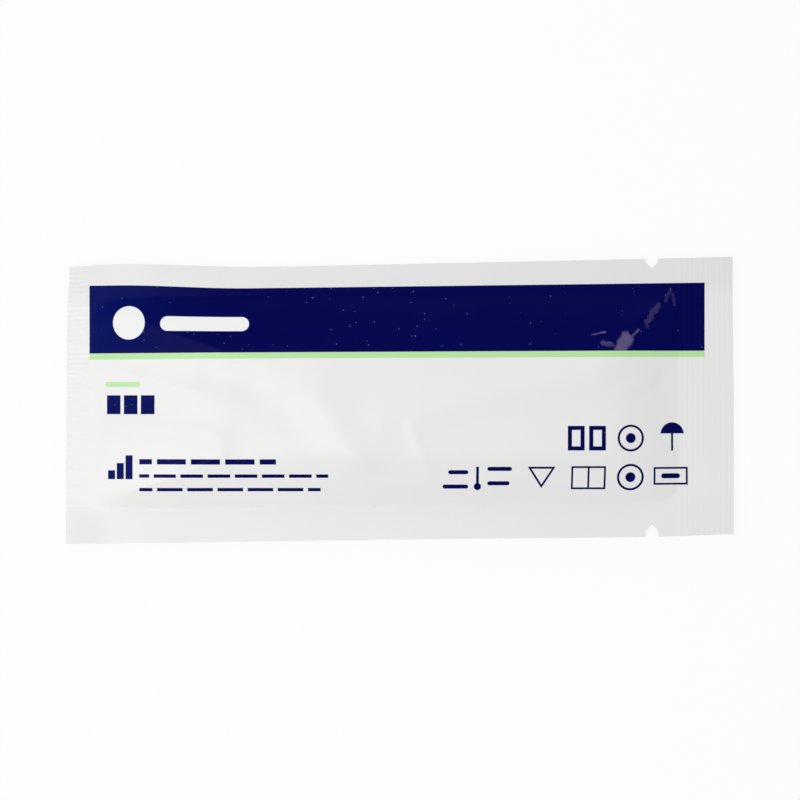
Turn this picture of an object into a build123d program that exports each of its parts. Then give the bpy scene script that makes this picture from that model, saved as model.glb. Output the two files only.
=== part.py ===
from build123d import *
import math
import os

# A sealed, flat foil pouch for one lateral flow test, lying on its back web.
# +X runs along it towards the tear notches, +Y across it, +Z up from the table.

# Outline, seen from above
pouch_length = 120.0
pouch_width = 50.0
edge_climb = 1.8

# The left end leans in towards its upper corner: share of the width from the
# bottom, and how far it leans there
left_corner_lean = 0.5
left_end_lean = ((0.75, 0.02), (0.88, 0.22))

# How far each long edge swells out, at a share of its length
top_edge_swell = ((0.09, 0.35), (0.27, -0.5), (0.45, -0.45), (0.8, -0.2))
bottom_edge_swell = ((0.35, 0.05), (0.6, 0.1), (0.87, 0.28))

# The two webs, and the height at which their flat side seals float
web_thickness = 0.12
seal_height = 2.0
side_seal_width = 6.0

# Crimp at the right end, rounded ribs running across the pouch
right_crimp_length = 9.8
right_rib_pitch = 0.97
right_rib_height = 0.06

# Crimp at the left end, pointed ribs running along the pouch
left_crimp_length = 4.6
left_rib_pitch = 0.86
left_rib_height = 0.06

# Tear notches in both long edges, with straight flanks and a pointed end
notch_from_right_end = 14.7
notch_width = 2.3
notch_point = 1.1
top_notch_depth = 1.75
bottom_notch_depth = 2.2

# The cassette that the webs are drawn over
cassette_length = 70.0
cassette_width = 20.0
cassette_height = 5.0
cassette_shift = 3.0
air_over_cassette = 0.35

# How the webs run from the cassette down to the seals
shoulder_radius = 2.0
hip_sharpness = 7.0
slope_fullness = 1.15

# Soft folds of the front web: start and end in half lengths and half widths
# of the cassette from its middle, then half width and height in millimetres
long_ridge = ((-0.17, -0.34), (0.91, 0.48), 3.2, 0.55)
left_facet = ((-0.53, 0.3), (-0.34, -0.9), 3.8, 0.6)
short_crease = ((-0.02, -0.47), (0.06, -1.3), 1.9, 0.24)
right_hollow = ((1.27, 0.45), (1.33, -0.35), 3.4, -0.6)
left_ridge = ((-1.03, -0.6), (-1.56, -0.38), 2.4, 0.35)
corner_hollow = ((-1.04, 0.52), (-0.84, 0.26), 3.0, -0.5)
seal_ridge = ((-0.23, -1.56), (0.4, -1.54), 1.9, 0.16)
front_folds = (long_ridge, left_facet, short_crease, right_hollow, left_ridge, corner_hollow, seal_ridge)

# The film stands a little higher along the hips that run out to the seal's corners
upper_right_hip = ((0.98, 0.96), (1.31, 1.84), 1.6, 0.28)
lower_right_hip = ((0.99, -0.96), (1.3, -1.76), 1.6, 0.24)
upper_left_hip = ((-0.99, 0.96), (-1.59, 1.74), 1.8, 0.2)
lower_left_hip = ((-0.99, -0.96), (-1.57, -1.7), 1.8, 0.2)
front_hips = (upper_right_hip, lower_right_hip, upper_left_hip, lower_left_hip)

# How finely the webs' sections are taken, and how far cutters run past the pouch
section_step = 1.75
clearance = 1.5
headroom = 3.0

# Worked out from the above
seal_thickness = 2 * web_thickness
seal_top = seal_height + seal_thickness / 2
seal_bottom = seal_height - seal_thickness / 2
front_rise = cassette_height + seal_thickness + air_over_cassette - seal_top
left_end = -pouch_length / 2
right_end = pouch_length / 2
body_left = left_end + left_crimp_length
body_right = right_end - right_crimp_length
body_half_width = pouch_width / 2 - side_seal_width
across = pouch_width + 2 * edge_climb
above = seal_top + front_rise + headroom
below = -headroom


def skew(x):
    # The pouch is cut a little askew, so its long edges climb to the right
    return edge_climb * x / pouch_length


def past_edge(distance):
    # Near zero before a cassette edge, then the distance past it, with a round start
    return (distance + math.hypot(distance, shoulder_radius)) / 2


def reach(x, v):
    # 0 over the cassette and 1 where the webs meet the seals
    half_length = cassette_length / 2
    along = x - cassette_shift
    run = body_right - cassette_shift if along > 0 else cassette_shift - body_left
    end_share = past_edge(abs(along) - half_length) / (run - half_length)
    side_share = past_edge(abs(v) - cassette_width / 2) / (body_half_width - cassette_width / 2)
    return (end_share**hip_sharpness + side_share**hip_sharpness) ** (1 / hip_sharpness)


def fold(x, v, start, end, half_width, height):
    # A rounded ridge along a line, or a valley where the height is negative
    start = Vector(cassette_shift + start[0] * cassette_length / 2, start[1] * cassette_width / 2)
    end = Vector(cassette_shift + end[0] * cassette_length / 2, end[1] * cassette_width / 2)
    run = end - start
    share = (Vector(x, v) - start).dot(run) / run.dot(run)
    nearest = start + run * min(1, max(0, share))
    away = (Vector(x, v) - nearest).length
    return height * math.exp(-((away / half_width) ** 2))


def front_height(x, v):
    share = reach(x, v)
    calm_at_seals = min(1, 3 * max(0, 1 - share))
    folds = sum(fold(x, v, *values) for values in front_folds + front_hips)
    return seal_top + front_rise * (1 - share**slope_fullness) + folds * calm_at_seals


def back_height(x, v):
    # A little below the table under the cassette, so that the rest face is cut flat
    pressed = web_thickness
    return seal_bottom - (seal_bottom + pressed) * (1 - reach(x, v) ** slope_fullness)


def web_block(height, far):
    # Everything between one web and a level well beyond the other one
    left = body_left - clearance
    length = body_right - body_left + 2 * clearance
    half = body_half_width + clearance
    columns = math.ceil(length / section_step)
    rows = math.ceil(2 * half / section_step)
    shares = [row / rows for row in range(rows + 1)]
    sections = []
    for column in range(columns + 1):
        x = left + length * column / columns
        across_web = [(2 * share - 1) * half for share in shares]
        points = [Vector(x, v + skew(x), height(x, v)) for v in across_web]
        web = Edge.make_spline(points, parameters=shares)
        start = Vector(points[0].X, points[0].Y, far)
        end = Vector(points[-1].X, points[-1].Y, far)
        frame = [Line(points[0], start), Line(start, end), Line(end, points[-1])]
        sections.append(Face(Wire([web, *frame])))
    return loft(sections, ruled=True)


def swollen_body():
    # The room between the webs, which cross inside the thickness of the side seals
    # and end where the crimps start, with the rest face cut flat at the table
    room = Box(body_right - body_left, across, above)
    room = Pos((body_left + body_right) / 2, 0, above / 2) * room
    return web_block(front_height, below) & web_block(back_height, above) & room


def long_edge(side, swell):
    # One long edge, from left to right, through a few points off its chord
    lean = left_corner_lean if side > 0 else 0
    start = Vector(left_end + lean, skew(left_end) + side * pouch_width / 2)
    end = Vector(right_end, skew(right_end) + side * pouch_width / 2)
    middle = [start + (end - start) * share + Vector(0, side * out) for share, out in swell]
    return Spline(start, *middle, end)


def outline_block():
    top = long_edge(1, top_edge_swell)
    bottom = long_edge(-1, bottom_edge_swell)
    right = Line(bottom @ 1, top @ 1)
    low_y = (bottom @ 0).Y
    run = (top @ 0).Y - low_y
    leaning = [Vector(left_end + lean, low_y + share * run) for share, lean in left_end_lean]
    leaning_end = Spline(top @ 0, *reversed(leaning))
    straight_end = Line(leaning_end @ 1, bottom @ 0)
    return extrude(make_face([bottom, right, top, leaning_end, straight_end]), above)


def tear_notch(side, depth, swell):
    # The cutter for one notch, a house with its roof towards the pouch
    x = right_end - notch_from_right_end
    edge_y = (long_edge(side, swell) @ ((x - left_end) / pouch_length)).Y
    half = notch_width / 2
    beyond = edge_y + side * clearance
    shoulder = edge_y - side * (depth - notch_point)
    tip = edge_y - side * depth
    corners = [(x - half, beyond), (x - half, shoulder), (x, tip)]
    corners += [(x + half, shoulder), (x + half, beyond)]
    return extrude(make_face(Polyline(*corners, close=True)), above)


def rounded_wave(count, step, height):
    wave = []
    for half_wave in range(count):
        start = half_wave * step
        peak = height if half_wave % 2 == 0 else -height
        wave.append(ThreePointArc((start, 0), (start + step / 2, peak), (start + step, 0)))
    return wave


def pointed_wave(count, step, height):
    peaks = [((spot + 0.5) * step, height * (-1) ** spot) for spot in range(count)]
    return [Polyline((0, 0), *peaks, (count * step, 0))]


def crimped_section(wave_form, pitch, height, length):
    # Both webs pressed into one wave of even thickness
    count = 2 * max(1, round(length / pitch))
    wave = wave_form(count, length / count, height)
    half = seal_thickness / 2
    edges = [piece.moved(Location((0, half))) for piece in wave]
    edges += [piece.moved(Location((0, -half))) for piece in wave]
    edges += [Line((0, -half), (0, half)), Line((length, -half), (length, half))]
    return make_face(edges)


def right_crimp():
    section = crimped_section(rounded_wave, right_rib_pitch, right_rib_height, right_crimp_length)
    plane = Plane((body_right, across / 2, seal_height), x_dir=(1, 0, 0), z_dir=(0, -1, 0))
    return extrude(plane * section, across)


def left_crimp():
    section = crimped_section(pointed_wave, left_rib_pitch, left_rib_height, across)
    plane = Plane((left_end, -across / 2, seal_height), x_dir=(0, 1, 0), z_dir=(1, 0, 0))
    return extrude(plane * section, left_crimp_length)


def side_seals():
    middle = (body_left + body_right) / 2
    return Pos(middle, 0, seal_height) * Box(body_right - body_left, across, seal_thickness)


def sealed_pouch():
    outline = outline_block()
    pouch = (side_seals() & outline) + swollen_body()
    pouch += right_crimp() & outline
    pouch += left_crimp() & outline
    pouch -= tear_notch(1, top_notch_depth, top_edge_swell)
    pouch -= tear_notch(-1, bottom_notch_depth, bottom_edge_swell)
    middle = pouch.bounding_box().center()
    return pouch.moved(Location((-middle.X, -middle.Y, 0)))


os.makedirs("parts", exist_ok=True)
pouch = sealed_pouch()
print("solids", len(pouch.solids()), "volume", round(pouch.volume, 1))
print("size", pouch.bounding_box().size)
export_step(pouch, "parts/sealed_pouch.step")
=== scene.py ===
import math

import bmesh
import bpy
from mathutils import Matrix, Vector, noise


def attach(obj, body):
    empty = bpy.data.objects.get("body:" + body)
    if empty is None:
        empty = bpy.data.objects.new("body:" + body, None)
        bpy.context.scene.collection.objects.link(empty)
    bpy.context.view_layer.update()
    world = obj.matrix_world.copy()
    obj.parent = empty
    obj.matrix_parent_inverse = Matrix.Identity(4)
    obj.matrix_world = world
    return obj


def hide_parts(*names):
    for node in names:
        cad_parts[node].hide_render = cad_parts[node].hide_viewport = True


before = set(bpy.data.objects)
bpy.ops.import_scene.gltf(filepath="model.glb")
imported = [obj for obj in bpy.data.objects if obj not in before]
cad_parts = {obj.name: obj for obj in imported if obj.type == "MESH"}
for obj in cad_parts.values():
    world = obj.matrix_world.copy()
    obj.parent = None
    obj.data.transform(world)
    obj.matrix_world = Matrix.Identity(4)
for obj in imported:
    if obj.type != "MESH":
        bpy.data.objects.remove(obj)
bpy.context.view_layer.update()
mm = 0.001
print("frame loaded, nodes", len(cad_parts))

# The pouch, in millimetres, seen from above, +X towards the tear notches
pouch = {
    "length": 120.0,
    "width": 50.0,
    "edgeClimb": 1.8,  # how far the long edges climb from left to right
    # How far each long edge swells out, at a share of its length
    "topEdge": ((0.0, 0.0), (0.09, 0.35), (0.27, -0.5), (0.45, -0.45), (0.8, -0.2), (1.0, 0.0)),
    "bottomEdge": ((0.0, 0.0), (0.35, 0.05), (0.6, 0.1), (0.87, 0.28), (1.0, 0.0)),
    "webThickness": 0.12,
    "sealHeight": 2.0,
    "sideSealWidth": 6.0,
    "rightCrimp": 9.8,
    "rightRibs": 10,
    "rightRibHeight": 0.024,
    "leftCrimp": 4.6,
    "leftRibs": 58,
    "leftRibHeight": 0.03,
    "leftRibFade": 0.5,
    "notchFromRight": 14.7,
    "notchWidth": 2.3,
    "notchPoint": 1.1,
    "topNotchDepth": 1.75,
    "bottomNotchDepth": 2.2,
    "notchSpare": (0.6, 0.8),  # how far beside and beyond a notch its cuts run
    "columns": (3, 240, 80),  # in the left crimp, the body and the right crimp
    "rows": 116,
    "cutThreshold": 0.001,
    "webFacing": 0.5,  # how far up or down a face of the front or back web looks
    "smoothAngle": 40.0,
}

# How far sealing drew the outline in, each from a place on and over a run
drawnIn = {
    "leftEnd": 0.15,
    "leftCorner": 0.5,
    "cornerFrom": 13.0,
    "cornerRun": 12.0,
    "cornerBend": 1.3,
    "leftFoot": 0.2,
    "footFrom": 2.0,
    "footRun": 14.0,
    "leftRun": 30.0,
    "rightEnd": 0.2,
    "rightFrom": -4.0,
    "rightRun": 22.0,
    "rightPast": 40.0,
    "rightPastRun": 20.0,
    "topEdge": 0.16,
    "topFrom": 15.0,
    "topRun": 10.0,
    "risePer": 400.0,  # a rise draws in the place of a point by its share of this
}

# How the seals rise towards their outer edges, in millimetres
rises = {
    "lower": 0.72,
    "upper": -0.4,
    "upperAtEnds": 0.45,
    "endsFrom": 15.0,
    "endsRun": 40.0,
    "waves": ((0.14, 0.115, 0.4, 0.0), (0.07, 0.29, 2.0, 0.02)),  # height, turn, start, slant
    "corners": ((-60, 25, 12, 0.25), (-60, -25, 10, 1.2), (60, -25, 20, 0.4), (60, 25, 12, 0.15)),
    "cornerBend": 1.5,
}

# The slight unevenness of the film: height, size along and across, and layer
crumples = ((0.1, 9.0, 6.0, 3.1), (0.02, 3.2, 2.6, 7.7))
crumpleOnSeals = 0.3

# What lies inside and how the webs are drawn over it
inside = {
    "length": 70.0,
    "width": 20.0,
    "height": 5.0,
    "shift": 3.0,
    "air": 0.35,
    "shoulder": 2.0,
    "hip": 7.0,
    "fullness": 1.15,
    "foldCalm": 3.0,  # how fast the folds rise from the seals inwards
}

# Folds of the front web in millimetres: start, end, half width, height, and how
# sharp the crest is, 2 for a soft one and 1 for a crease
frontFolds = [
    ((-3.0, -3.4), (35.0, 4.8), 3.2, 0.55, 2.0),
    ((-14.5, 0.8), (-7.8, -10.2), 3.9, 0.88, 2.0),
    ((2.2, -4.7), (5.1, -13.0), 1.3, 0.22, 1.6),
    ((48.4, 2.4), (50.2, -5.0), 3.2, -0.5, 2.0),
    ((-33.5, 5.2), (-26.5, 2.6), 3.0, -0.62, 2.0),
    ((-33.0, -6.0), (-51.5, -3.8), 2.4, 0.35, 1.7),
    ((-5.0, -15.6), (17.0, -15.4), 1.8, 0.16, 2.0),
    ((21.5, -7.4), (26.0, -9.4), 0.6, 0.05, 1.2),
    ((37.4, 9.6), (49.0, 18.4), 1.1, 0.28, 1.3),
    ((37.6, -9.6), (48.6, -17.6), 1.4, 0.13, 1.4),
    ((-31.8, 9.6), (-52.6, 17.4), 1.4, 0.2, 1.3),
    ((-31.8, -9.6), (-52.0, -17.0), 1.4, 0.2, 1.3),
    ((39.5, 1.0), (46.5, 3.2), 1.0, 0.14, 1.3),
    ((39.0, -4.2), (47.5, -8.4), 1.1, 0.2, 1.3),
    ((-35.0, 1.8), (-53.4, 6.4), 1.3, 0.16, 1.3),
    ((-34.0, -9.0), (-46.0, -14.2), 1.0, -0.14, 1.3),
]


def smooth(value):
    value = min(1.0, max(0.0, value))
    return value * value * (3 - 2 * value)


def through(points, share):
    # A soft line through the points, by their shares
    for spot in range(len(points) - 1):
        if share <= points[spot + 1][0] or spot == len(points) - 2:
            break
    slopes = []
    for here in (spot, spot + 1):
        before, after = max(0, here - 1), min(len(points) - 1, here + 1)
        slopes.append((points[after][1] - points[before][1]) / (points[after][0] - points[before][0]))
    (startShare, startValue), (endShare, endValue) = points[spot], points[spot + 1]
    gap = endShare - startShare
    t = (share - startShare) / gap
    value = (2 * t**3 - 3 * t**2 + 1) * startValue + (3 * t**2 - 2 * t**3) * endValue
    return value + (t**3 - 2 * t**2 + t) * gap * slopes[0] + (t**3 - t**2) * gap * slopes[1]


def edgeOut(side, x):
    # How far out a long edge lies, above or below the middle line
    share = x / pouch["length"] + 0.5
    points = pouch["topEdge"] if side > 0 else pouch["bottomEdge"]
    return pouch["width"] / 2 + through(points, share)


def skew(x):
    return pouch["edgeClimb"] * x / pouch["length"]


def bodyEnds():
    return pouch["leftCrimp"] - pouch["length"] / 2, pouch["length"] / 2 - pouch["rightCrimp"]


def pastEdge(distance):
    return (distance + math.hypot(distance, inside["shoulder"])) / 2


def reach(x, v):
    # 0 over what lies inside and 1 where the webs meet the seals
    bodyLeft, bodyRight = bodyEnds()
    along = x - inside["shift"]
    run = bodyRight - inside["shift"] if along > 0 else inside["shift"] - bodyLeft
    endShare = pastEdge(abs(along) - inside["length"] / 2) / (run - inside["length"] / 2)
    half = pouch["width"] / 2 - pouch["sideSealWidth"]
    sideShare = pastEdge(abs(v) - inside["width"] / 2) / (half - inside["width"] / 2)
    return (endShare ** inside["hip"] + sideShare ** inside["hip"]) ** (1 / inside["hip"])


def foldHeight(x, v, start, end, halfWidth, height, crest):
    run = (end[0] - start[0], end[1] - start[1])
    share = ((x - start[0]) * run[0] + (v - start[1]) * run[1]) / (run[0] ** 2 + run[1] ** 2)
    share = min(1.0, max(0.0, share))
    away = math.hypot(x - start[0] - run[0] * share, v - start[1] - run[1] * share)
    return height * math.exp(-((away / halfWidth) ** crest))


def crimpWave(x, row):
    # The ribs, pressed into both webs alike
    bodyLeft, bodyRight = bodyEnds()
    if x >= bodyRight:
        turns = (x - bodyRight) / pouch["rightCrimp"] * pouch["rightRibs"]
        return pouch["rightRibHeight"] * math.sin(2 * math.pi * turns)
    if x <= bodyLeft:
        fade = smooth((bodyLeft - x) / pouch["leftRibFade"])
        turns = row / pouch["rows"] * pouch["leftRibs"]
        return pouch["leftRibHeight"] * math.sin(2 * math.pi * turns) * fade
    return 0.0


def marginLift(x, v):
    # The upper seal drops and the lower one rises towards its outer edge, in slow
    # waves, and the corners curl
    out = max(0.0, (abs(v) - pouch["width"] / 2) / pouch["sideSealWidth"] + 1)
    leftShare = smooth((-rises["endsFrom"] - x) / rises["endsRun"])
    rightShare = smooth((x - rises["endsFrom"]) / rises["endsRun"])
    upper = rises["upper"] + rises["upperAtEnds"] * (leftShare + rightShare)
    rise = upper if v > 0 else rises["lower"]
    for height, turn, start, slant in rises["waves"]:
        rise += height * math.sin(x * turn + start + v * slant)
    lift = out * rise
    for cornerX, cornerV, size, height in rises["corners"]:
        away = math.hypot(x - cornerX, v - cornerV)
        lift += height * smooth(1 - away / size) ** rises["cornerBend"]
    return lift


def crumple(x, v):
    return sum(height * noise.noise(Vector((x / along, v / across, layer)))
               for height, along, across, layer in crumples)


def webHeight(x, v, row, front):
    share = reach(x, v)
    seal = pouch["sealHeight"] + marginLift(x, v) + crimpWave(x, row)
    seal += crumpleOnSeals * crumple(x, v)
    sealTop = pouch["sealHeight"] + pouch["webThickness"]
    if not front:
        pressed = min(1.0, share) ** inside["fullness"]
        return max(0.0, seal * pressed - pouch["webThickness"])
    rise = inside["height"] + 2 * pouch["webThickness"] + inside["air"] - sealTop
    height = rise * max(0.0, 1 - share ** inside["fullness"])
    folds = crumple(x, v) + sum(foldHeight(x, v, *fold) for fold in frontFolds)
    calm = min(1.0, inside["foldCalm"] * max(0.0, 1 - share))
    return seal + pouch["webThickness"] + height + folds * calm


def columnPlace(column):
    bodyLeft, bodyRight = bodyEnds()
    left, body, right = pouch["columns"]
    if column <= left:
        return -pouch["length"] / 2 + pouch["leftCrimp"] * column / left
    if column <= left + body:
        return bodyLeft + (bodyRight - bodyLeft) * (column - left) / body
    return bodyRight + pouch["rightCrimp"] * (column - left - body) / right


def flatPoint(column, row):
    x = columnPlace(column)
    across = 2 * row / pouch["rows"] - 1
    top, bottom = edgeOut(1, x), edgeOut(-1, x)
    return Vector((x, skew(x) + (top - bottom) / 2 + across * (top + bottom) / 2, 0))


def leanAlong(x, v):
    # How far the two ends were drawn in along X
    corner = max(0.0, (v - drawnIn["cornerFrom"]) / drawnIn["cornerRun"]) ** drawnIn["cornerBend"]
    lean = drawnIn["leftEnd"] + drawnIn["leftCorner"] * corner
    lean -= drawnIn["leftFoot"] * smooth((drawnIn["footFrom"] - v) / drawnIn["footRun"])
    lean *= smooth(1 - (x + pouch["length"] / 2) / drawnIn["leftRun"])
    right = smooth((v - drawnIn["rightFrom"]) / drawnIn["rightRun"])
    right *= smooth((x - drawnIn["rightPast"]) / drawnIn["rightPastRun"])
    return lean - drawnIn["rightEnd"] * right


def drawnPoint(point, front):
    # A point of the flat web, once drawn over what lies inside
    x, v = point.x, point.y - skew(point.x)
    top, bottom = edgeOut(1, x), edgeOut(-1, x)
    row = ((2 * v - top + bottom) / (top + bottom) + 1) / 2 * pouch["rows"]
    y = point.y - drawnIn["topEdge"] * smooth((v - drawnIn["topFrom"]) / drawnIn["topRun"])
    pull = 1 - marginLift(x, v) / drawnIn["risePer"]
    return Vector(((x + leanAlong(x, v)) * pull, y * pull, webHeight(x, v, row, front)))


def deselectAll():
    if bpy.context.object and bpy.context.object.mode != "OBJECT":
        bpy.ops.object.mode_set(mode="OBJECT")
    bpy.ops.object.select_all(action="DESELECT")


def selectFaces(piece, wanted):
    bpy.ops.mesh.select_all(action="DESELECT")
    mesh = bmesh.from_edit_mesh(piece.data)
    for face in mesh.faces:
        if wanted(face.calc_center_median()):
            face.select = True
    bmesh.update_edit_mesh(piece.data)


def cutNotch(piece, side, depth):
    # A house with its roof towards the pouch, cut out of the flat web
    x = pouch["length"] / 2 - pouch["notchFromRight"]
    edge = skew(x) + side * edgeOut(side, x)
    half, point = pouch["notchWidth"] / 2, pouch["notchPoint"]
    tip = Vector((x, edge - side * depth, 0))
    across, roof = Vector((1, 0, 0)), Vector((point, side * half, 0)).normalized()
    beside, beyond = pouch["notchSpare"]
    near = lambda place: abs(place.x - x) < half + beside and (place - tip).y * side > -beyond
    cuts = [(tip - across * half, across), (tip + across * half, across)]
    cuts += [(tip, roof), (tip, Vector((-roof.x, roof.y, 0)))]
    for place, direction in cuts:
        selectFaces(piece, near)
        bpy.ops.mesh.bisect(plane_co=place, plane_no=direction, threshold=pouch["cutThreshold"])
    selectFaces(piece, lambda place: abs(place.x - x) < half
                and (place - tip).y * side > point * abs(place.x - x) / half)
    bpy.ops.mesh.delete(type="FACE")


def makeWebs():
    # One flat grid in millimetres, finer in the left crimp with its narrow ribs, then
    # a slab whose two sides become the two webs
    deselectAll()
    columns, rows = sum(pouch["columns"]), pouch["rows"]
    bpy.ops.mesh.primitive_grid_add(
        x_subdivisions=columns, y_subdivisions=rows, size=2, location=(0, 0, 0))
    piece = bpy.context.object
    piece.name = piece.data.name = "foilPouch"
    for vertex in piece.data.vertices:
        vertex.co = flatPoint((vertex.co.x + 1) / 2 * columns, (vertex.co.y + 1) / 2 * rows)
    bpy.ops.object.mode_set(mode="EDIT")
    selectFaces(piece, lambda place: place.x < bodyEnds()[0])
    bpy.ops.mesh.subdivide(number_cuts=1)
    cutNotch(piece, 1, pouch["topNotchDepth"])
    cutNotch(piece, -1, pouch["bottomNotchDepth"])
    bpy.ops.mesh.select_all(action="SELECT")
    bpy.ops.mesh.extrude_region_move(TRANSFORM_OT_translate={"value": (0, 0, 1)})
    bpy.ops.mesh.select_all(action="SELECT")
    bpy.ops.mesh.normals_make_consistent(inside=False)
    bpy.ops.object.mode_set(mode="OBJECT")
    for vertex in piece.data.vertices:
        vertex.co = drawnPoint(vertex.co, vertex.co.z > 0.5) * mm
    piece.data.update()
    return piece


# How the print was pulled along Y when the film was drawn and sealed
printPull = {
    "lowerTilt": 0.0046,
    "upperTilt": 0.0125,
    "upperShift": -0.03,
    "leftDrop": 0.82,
    "leftFrom": -27.0,
    "leftRun": 24.0,
    "lower": 8.8,
    "upper": 20.5,
    "calmFrom": 4.5,
    "calmRun": 3.0,
}


def printShift(x, y):
    lower = printPull["lowerTilt"] * x
    leftDrop = printPull["leftDrop"] * smooth((printPull["leftFrom"] - x) / printPull["leftRun"])
    upper = printPull["upperTilt"] * x + printPull["upperShift"] + leftDrop
    share = (y - printPull["lower"]) / (printPull["upper"] - printPull["lower"])
    shift = lower + (upper - lower) * min(1.0, max(0.0, share))
    return shift * smooth((y - printPull["calmFrom"]) / printPull["calmRun"])


def mapPrint(piece):
    # Where each point lay on the flat printed film, in millimetres
    layer = piece.data.uv_layers.new(name="printMap")
    for loop in piece.data.loops:
        point = piece.data.vertices[loop.vertex_index].co / mm
        layer.data[loop.index].uv = (point.x, point.y - printShift(point.x, point.y))


def giveSlots(piece, finishes):
    for finish in finishes:
        piece.data.materials.append(finish)
    least = pouch["webFacing"]
    for face in piece.data.polygons:
        face.material_index = 0 if face.normal.z > least else 1 if face.normal.z < -least else 2


def makePouch(finishes):
    piece = makeWebs()
    mapPrint(piece)
    giveSlots(piece, finishes)
    deselectAll()
    piece.select_set(True)
    bpy.context.view_layer.objects.active = piece
    bpy.ops.object.shade_smooth_by_angle(angle=math.radians(pouch["smoothAngle"]))
    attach(piece, "root")
    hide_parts("sealed_pouch")
    triangles = sum(len(face.vertices) - 2 for face in piece.data.polygons)
    print("pouch made, triangles", triangles)
    return piece


class Reading:
    # A value in a material, so that shader sums are written as sums
    def __init__(self, finish, socket):
        self.finish = finish
        self.socket = socket

    def maths(self, operation, first, second):
        node = self.finish.node("ShaderNodeMath", {"operation": operation}, [first, second])
        return Reading(self.finish, node.outputs[0])

    def __add__(self, other):
        return self.maths("ADD", self, other)

    def __radd__(self, other):
        return self.maths("ADD", other, self)

    def __sub__(self, other):
        return self.maths("SUBTRACT", self, other)

    def __rsub__(self, other):
        return self.maths("SUBTRACT", other, self)

    def __mul__(self, other):
        return self.maths("MULTIPLY", self, other)

    def __rmul__(self, other):
        return self.maths("MULTIPLY", other, self)

    def __truediv__(self, other):
        return self.maths("DIVIDE", self, other)

    def __pow__(self, other):
        return self.maths("POWER", self, other)

    def __mod__(self, other):
        return self.maths("FLOORED_MODULO", self, other)

    def __abs__(self):
        return self.maths("ABSOLUTE", self, 0)


class Finish:
    def __init__(self, name):
        self.material = bpy.data.materials.new(name)
        self.material.use_nodes = True
        self.tree = self.material.node_tree
        self.tree.nodes.clear()

    def node(self, kind, settings=None, inputs=()):
        # Settings first, then values or links by place or by name
        made = self.tree.nodes.new(kind)
        for name, value in (settings or {}).items():
            setattr(made, name, value)
        pairs = inputs.items() if isinstance(inputs, dict) else enumerate(inputs)
        for name, value in pairs:
            if isinstance(value, Reading):
                self.tree.links.new(value.socket, made.inputs[name])
            elif value is not None:
                made.inputs[name].default_value = value
        return made

    def read(self, node, output=0):
        return Reading(self, node.outputs[output])

    def least(self, first, second):
        return self.read(self.node("ShaderNodeMath", {"operation": "MINIMUM"}, [first, second]))

    def most(self, first, second):
        return self.read(self.node("ShaderNodeMath", {"operation": "MAXIMUM"}, [first, second]))

    def clamp(self, value):
        return self.read(self.node("ShaderNodeClamp", None, [value]))

    def mix(self, share, first, second):
        made = self.node("ShaderNodeMix", {"data_type": "RGBA"}, {0: share, 6: first, 7: second})
        return self.read(made, 2)

    def noise(self, place, scale, detail):
        inputs = {"Vector": place, "Scale": scale, "Detail": detail}
        return self.read(self.node("ShaderNodeTexNoise", None, inputs))

    def objectPlace(self):
        return self.read(self.node("ShaderNodeTexCoord"), "Object")

    def bump(self, height, distance):
        inputs = {"Strength": 0.5, "Distance": distance, "Height": height}
        return self.read(self.node("ShaderNodeBump", None, inputs))

    def finishWith(self, surface):
        self.node("ShaderNodeOutputMaterial", None, {"Surface": self.read(surface)})
        return self.material


# The print's colours, and its large fields in millimetres on the flat film
printing = {
    "white": (0.83, 0.83, 0.825, 1),
    "cloudWhite": (0.815, 0.815, 0.815, 1),
    "sealed": (0.775, 0.775, 0.775, 1),  # the long seals' greyer white, laid on more thickly on the upper seal as painted shade
    "sealedFrom": 17.6,
    "sealedRun": 2.2,
    "sealedShare": 0.3,
    # painted shade: how much more the upper seal is greyed
    "paintedShadeAbove": 0.5,
    "navy": (0.0004, 0.0008, 0.072, 1),
    "navySheen": (0.0008, 0.0062, 0.125, 1),  # painted reflection: the navy lightens towards the left, where the lamp hangs
    "navySheenFrom": -34.0,
    "navySheenRun": 24.0,
    "navySheenShare": 0.75,
    "inkClouds": 0.15,
    "green": (0.47, 0.775, 0.36, 1),
    "greenBar": (-52.9, -46.5, 2.8, 0.9),  # left, right, middle, thickness
    "greenBarShare": 0.9,
    "pale": (0.86, 0.87, 0.86, 1),
    "paleDisc": (-48.6, 13.9, 2.9),  # middle and radius
    "paleBar": (-42.9, -27.0, 13.8, 2.6),
    "bandEnds": (-55.8, 54.75),
    "bandTop": 20.44,
    "bandBottom": 8.6,
    "lineWidth": 1.1,
    "softness": 0.08,
}

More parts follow.
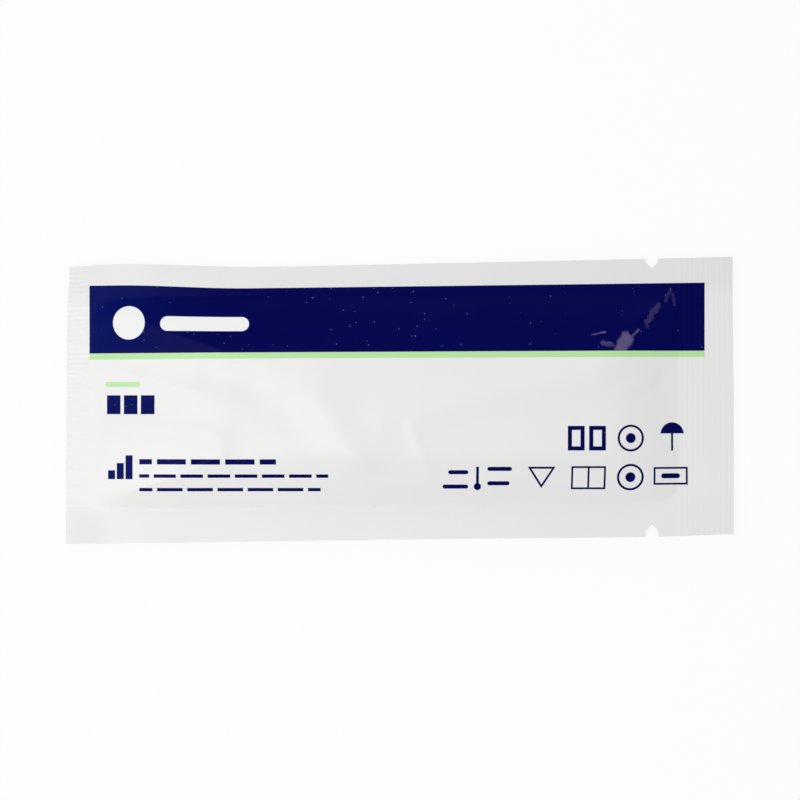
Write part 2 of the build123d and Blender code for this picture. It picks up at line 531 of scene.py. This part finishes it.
# Plain shapes below the band, in millimetres
marks = {
    "boxes": [  # left, right, bottom, top
        (48.65, 49.05, -9.1, -5.0),
        (13.6, 14.1, -15.4, -11.9),
        (-52.4, -51.1, -14.2, -12.6),
        (-50.8, -49.5, -14.2, -11.3),
        (-49.2, -47.9, -14.2, -9.9),
    ],
    "openBoxes": [  # left, right, bottom, top, stroke
        (30.6, 33.88, -16.0, -11.8, 0.36),
        (33.52, 36.8, -16.0, -11.8, 0.36),
        (45.4, 51.7, -15.2, -12.0, 0.36),
        (29.9, 32.9, -9.0, -4.6, 0.75),
        (33.7, 36.7, -9.0, -4.6, 0.75),
    ],
    "openTriangle": (22.8, 27.8, -15.8, -11.9, 0.38),
    "discs": [(13.85, -15.5, 0.65), (41.2, -6.8, 0.9), (41.2, -13.8, 0.9)],  # middle, radius
    "rings": [(41.2, -6.8, 2.2, 0.42), (41.2, -13.8, 2.2, 0.42)],  # middle, radius, stroke
    "halfDisc": (48.85, -6.15, 2.15, -6.0),  # middle, radius, and where it is cut off
    "bars": [  # left, right, middle, thickness
        (46.8, 50.3, -13.6, 0.9),
        (8.6, 12.2, -12.9, 0.75),
        (7.6, 12.2, -15.5, 0.75),
        (15.6, 20.0, -12.3, 0.75),
        (15.6, 19.6, -14.9, 0.75),
    ],
    "dashes": [  # left, right, middle, thickness, step, gap, start of a step
        (-52.9, -43.6, -0.85, 3.4, 3.1, 0.6, -51.35),
        (-46.7, -22.1, -11.05, 0.95, 6.15, 0.9, -47.0),
        (-46.7, -12.8, -13.6, 0.62, 4.85, 0.8, -46.9),
        (-46.7, -14.2, -16.05, 0.62, 5.4, 0.8, -46.6),
    ],
}


class Print:
    # Shapes by how far inside them a point lies, in millimetres
    def __init__(self, finish):
        self.finish = finish
        place = finish.node("ShaderNodeUVMap", {"uv_map": "printMap"})
        parts = finish.node("ShaderNodeSeparateXYZ", None, [finish.read(place)])
        self.x = finish.read(parts, 0)
        self.y = finish.read(parts, 1)

    def box(self, left, right, bottom, top):
        along = (right - left) / 2 - abs(self.x - (left + right) / 2)
        up = (top - bottom) / 2 - abs(self.y - (top + bottom) / 2)
        return self.finish.least(along, up)

    def disc(self, x, y, radius):
        away = (self.x - x) ** 2 + (self.y - y) ** 2
        return radius - away ** 0.5

    def ring(self, x, y, radius, stroke):
        return stroke / 2 - abs(self.disc(x, y, radius))

    def outline(self, shape, stroke):
        # The line just inside a shape's edge
        return stroke / 2 - abs(shape - stroke / 2)

    def bar(self, left, right, middle, thick):
        # A bar with round ends
        half = (right - left - thick) / 2
        along = self.finish.most(abs(self.x - (left + right) / 2) - half, 0)
        return thick / 2 - (along ** 2 + (self.y - middle) ** 2) ** 0.5

    def stroke(self, start, end, thick):
        # A straight stroke with round ends, at any angle
        run = (end[0] - start[0], end[1] - start[1])
        square = run[0] ** 2 + run[1] ** 2
        along = (self.x - start[0]) * (run[0] / square)
        share = self.finish.clamp(along + (self.y - start[1]) * (run[1] / square))
        across, up = self.x - start[0] - share * run[0], self.y - start[1] - share * run[1]
        return thick / 2 - (across ** 2 + up ** 2) ** 0.5

    def dashes(self, left, right, middle, thick, step, gap, start):
        # A line of plain dashes
        line = self.box(left, right, middle - thick / 2, middle + thick / 2)
        phase = (self.x - start) % step
        return self.finish.least(line, abs(phase - step / 2) - gap / 2)

    def triangle(self, left, right, bottom, top):
        # Point down
        middle, half, height = (left + right) / 2, (right - left) / 2, top - bottom
        slope = half / height
        side = ((self.y - bottom) * slope - abs(self.x - middle)) / math.hypot(1, slope)
        return self.finish.least(side, top - self.y)

    def together(self, *shapes):
        whole = shapes[0]
        for shape in shapes[1:]:
            whole = self.finish.most(whole, shape)
        return whole

    def ink(self, shape, softness=printing["softness"]):
        return self.finish.clamp(shape / softness + 0.5)


def navyMarks(draw):
    shapes = [draw.box(*values) for values in marks["boxes"]]
    shapes += [draw.outline(draw.box(*sides), stroke) for *sides, stroke in marks["openBoxes"]]
    shapes += [draw.disc(*values) for values in marks["discs"]]
    shapes += [draw.ring(*values) for values in marks["rings"]]
    shapes += [draw.bar(*values) for values in marks["bars"]]
    shapes += [draw.dashes(*values) for values in marks["dashes"]]
    *sides, stroke = marks["openTriangle"]
    shapes.append(draw.outline(draw.triangle(*sides), stroke))
    *disc, cutOff = marks["halfDisc"]
    shapes.append(draw.finish.least(draw.disc(*disc), draw.y - cutOff))
    return draw.together(*shapes)


# The printed film's surface, with noise as its scale in a metre and its detail
film = {
    "clouds": (60.0, 4.0),
    "cloudShare": 0.5,
    "speckLayers": ((320.0, 0.05, 0.5), (900.0, 0.1, 0.62)),  # scale, radius, share left bare
    "speckEdge": 0.02,
    "speckFade": 0.15,
    "speckShare": 0.4,
    "speck": (0.25, 0.3, 0.5, 1),
    # painted highlight colour for the glints in the band
    "glintColour": (0.25, 0.21, 0.4, 1),
    "glintSoftness": (0.2, 5),  # least, and the thickness over which it grows by one
    "ragged": (900.0, 4.0),
    "raggedDepth": 1.8,
    "grain": (4000.0, 2.0),
    "grainRange": (0.7, 0.6),  # least, and how much more
    "rough": (220.0, 3.0),
    "roughRange": (0.33, 0.12),
    "inkSmoother": 0.05,
    "finePeel": (700.0, 3.0),
    "broadPeel": (180.0, 2.0),
    "broadWeight": 3,
    "peelDepth": 0.00002,
    "gloss": (0.36, 0.34),  # the coat on the white, and how much less on the ink
}

# Painted highlights in the band, glints where a hip and its creases catch the light: start,
# end, thickness and share
paintedGlints = [
    ((39.2, 8.6), (40.3, 10.6), 2.2, 0.42),
    ((40.9, 10.8), (42.6, 12.2), 0.4, 0.3),
    ((36.2, 10.0), (38.6, 9.3), 0.7, 0.2),
    ((34.2, 11.4), (36.6, 11.9), 0.2, 0.45),
    ((44.0, 13.2), (46.2, 16.4), 0.9, 0.13),
    ((47.7, 17.4), (48.6, 19.2), 0.6, 0.09),
    ((49.4, 16.6), (49.0, 18.4), 0.4, 0.1),
]


def plainWhite(finish, draw, clouds):
    # White, a little greyer on the long seals, and greyer still on the upper seal as painted shade
    white = finish.mix(clouds * film["cloudShare"], printing["white"], printing["cloudWhite"])
    upward = draw.y - draw.x * (pouch["edgeClimb"] / pouch["length"])
    onSeals = finish.clamp((abs(upward) - printing["sealedFrom"]) / printing["sealedRun"])
    # the upper seal is greyed more, as painted shade
    share = finish.clamp(upward) * printing["paintedShadeAbove"] + printing["sealedShare"]
    return finish.mix(onSeals * share, white, printing["sealed"])


def navyInkAndSheen(finish, draw, clouds):
    # Painted reflection: the navy grows lighter towards the left; the clouds are the ink's own uneven
    # tone
    leftShare = finish.clamp((printing["navySheenFrom"] - draw.x) / printing["navySheenRun"])
    share = leftShare * printing["navySheenShare"] + clouds * printing["inkClouds"]
    return finish.mix(share, printing["navy"], printing["navySheen"])


def specksIn(finish, place):
    # Pale specks of dust, in cells of which most are left bare
    specks = 0
    for scale, radius, bare in film["speckLayers"]:
        inputs = {"Vector": place, "Scale": scale, "Randomness": 1.0}
        cells = finish.node("ShaderNodeTexVoronoi", {"feature": "F1"}, inputs)
        draws = finish.node("ShaderNodeSeparateColor", None, [finish.read(cells, "Color")])
        dots = finish.clamp((radius - finish.read(cells, "Distance")) / film["speckEdge"])
        specks = specks + dots * finish.clamp((finish.read(draws, 0) - bare) / film["speckFade"])
    return finish.clamp(specks * film["speckShare"])


def paintedGlintsIn(finish, draw, place):
    # Painted highlights along the band's hip and creases, broken up by noise
    ragged = (finish.noise(place, *film["ragged"]) - 0.5) * film["raggedDepth"]
    softest, growth = film["glintSoftness"]
    glintMask = 0
    for start, end, thick, share in paintedGlints:
        shape = draw.stroke(start, end, thick) + ragged * min(1.0, thick)
        glintMask = finish.most(glintMask, draw.ink(shape, softest + thick / growth) * share)
    least, more = film["grainRange"]
    return glintMask * (finish.noise(place, *film["grain"]) * more + least)


def printedFilm():
    finish = Finish("printedFilm")
    draw = Print(finish)
    left, right = printing["bandEnds"]
    bottom = printing["bandBottom"]
    band = draw.ink(draw.box(left, right, bottom, printing["bandTop"]))
    line = draw.ink(draw.box(left, right, bottom - printing["lineWidth"], bottom))
    pale = draw.ink(draw.together(draw.disc(*printing["paleDisc"]), draw.bar(*printing["paleBar"])))
    greenBar = draw.ink(draw.bar(*printing["greenBar"])) * printing["greenBarShare"]
    inked = finish.most(band, draw.ink(navyMarks(draw)))

    place = finish.objectPlace()
    clouds = finish.noise(place, *film["clouds"])
    colour = plainWhite(finish, draw, clouds)
    colour = finish.mix(finish.most(line, greenBar), colour, printing["green"])
    # navy ink, with a painted reflection towards the left
    colour = finish.mix(inked, colour, navyInkAndSheen(finish, draw, clouds))
    colour = finish.mix(pale * band, colour, printing["pale"])
    colour = finish.mix(specksIn(finish, place) * inked, colour, film["speck"])
    # painted highlights on the band's hip and creases
    colour = finish.mix(paintedGlintsIn(finish, draw, place) * band, colour, film["glintColour"])

    least, more = film["roughRange"]
    rough = least + finish.noise(place, *film["rough"]) * more - inked * film["inkSmoother"]
    broad = finish.noise(place, *film["broadPeel"]) * film["broadWeight"]
    peel = finish.noise(place, *film["finePeel"]) + broad
    gloss, less = film["gloss"]
    shader = finish.node("ShaderNodeBsdfPrincipled", None, {
        "Base Color": colour,
        "Roughness": rough,
        "IOR": 1.48,
        "Specular IOR Level": 0.02,
        "Coat Weight": gloss - inked * less,
        "Coat Roughness": 0.26,
        "Normal": finish.bump(peel, film["peelDepth"]),
    })
    return finish.finishWith(shader)


# The back's plain matt foil
foil = {
    "colours": ((0.62, 0.63, 0.64, 1), (0.7, 0.705, 0.71, 1)),
    "drawn": (400.0, 4.0),
    "roughRange": (0.34, 0.14),
    "dents": (300.0, 4.0),
    "dentDepth": 0.00003,
}


def backFoil():
    finish = Finish("backFoil")
    place = finish.objectPlace()
    drawn = finish.noise(place, *foil["drawn"])
    least, more = foil["roughRange"]
    shader = finish.node("ShaderNodeBsdfPrincipled", None, {
        "Base Color": finish.mix(drawn, *foil["colours"]),
        "Metallic": 0.85,
        "Roughness": least + drawn * more,
        "Normal": finish.bump(finish.noise(place, *foil["dents"]), foil["dentDepth"]),
    })
    return finish.finishWith(shader)


# Where the webs are cut through
cut = {
    "colours": ((0.7, 0.7, 0.7, 1), (0.8, 0.8, 0.8, 1)),
    "fibre": (3000.0, 2.0),
    "roughRange": (0.5, 0.1),
}


def cutEdge():
    finish = Finish("cutEdge")
    fibre = finish.noise(finish.objectPlace(), *cut["fibre"])
    least, more = cut["roughRange"]
    shader = finish.node("ShaderNodeBsdfPrincipled", None, {
        "Base Color": finish.mix(fibre, *cut["colours"]),
        "Roughness": least + fibre * more,
    })
    return finish.finishWith(shader)


# Floor, light and camera, in metres
studio = {
    "floorSize": 6.0,
    "floorColour": (0.86, 0.86, 0.86, 1),
    "ownWhite": 0.9,  # how much of the floor's white is its own
    "world": 0.66,
    "lamps": (  # place, size and share of the light
        ((-0.115, -0.045, 0.27), 0.16, 0.31),
        ((0.05, 0.8, 0.3), 0.3, 0.04),
    ),
    "lens": 100.0,
    "sensor": 36.0,
    "view": 0.1438,  # width of the picture at the seals
    "clip": (0.01, 20.0),
}


def floorFinish():
    finish = Finish("whiteFloor")
    path = finish.node("ShaderNodeLightPath")
    seen = finish.most(finish.read(path, "Is Camera Ray"), finish.read(path, "Is Glossy Ray"))
    seen = finish.most(seen, finish.read(path, "Is Transmission Ray"))
    matt = finish.node("ShaderNodeBsdfDiffuse", None, {"Color": studio["floorColour"]})
    own = finish.node("ShaderNodeEmission", None, {"Color": (1, 1, 1, 1), "Strength": 1.0})
    inputs = [seen * studio["ownWhite"], finish.read(matt), finish.read(own)]
    return finish.finishWith(finish.node("ShaderNodeMixShader", None, inputs))


def makeStudio():
    deselectAll()
    bpy.ops.mesh.primitive_plane_add(size=studio["floorSize"], location=(0, 0, 0))
    floor = bpy.context.object
    floor.name = "paleFloor"
    floor.data.materials.append(floorFinish())
    for number, (place, size, share) in enumerate(studio["lamps"]):
        bpy.ops.object.light_add(type="AREA", location=place)
        lamp = bpy.context.object
        lamp.name = f"softLamp{number}"
        lamp.data.shape = "SQUARE"
        lamp.data.size = size
        # The power that lights the pouch by this share from wherever the lamp hangs
        lamp.data.energy = share * math.pi**2 * Vector(place).length ** 3 / place[2]
        lamp.rotation_euler = (-Vector(place)).to_track_quat("-Z", "Y").to_euler()
    world = bpy.data.worlds.new("softRoom")
    world.use_nodes = True
    world.node_tree.nodes["Background"].inputs["Color"].default_value = (1, 1, 1, 1)
    world.node_tree.nodes["Background"].inputs["Strength"].default_value = studio["world"]
    bpy.context.scene.world = world
    print("studio made")


def makeCamera():
    height = studio["view"] * studio["lens"] / studio["sensor"] + pouch["sealHeight"] * mm
    bpy.ops.object.camera_add(location=(0, 0, height), rotation=(0, 0, 0))
    camera = bpy.context.object
    camera.name = "aboveCamera"
    camera.data.lens = studio["lens"]
    camera.data.sensor_width = studio["sensor"]
    camera.data.clip_start, camera.data.clip_end = studio["clip"]
    camera.data.dof.use_dof = False
    bpy.context.scene.camera = camera
    bpy.context.scene.view_settings.view_transform = "Standard"
    print("camera made")


makeCamera()
makePouch([printedFilm(), backFoil(), cutEdge()])
makeStudio()
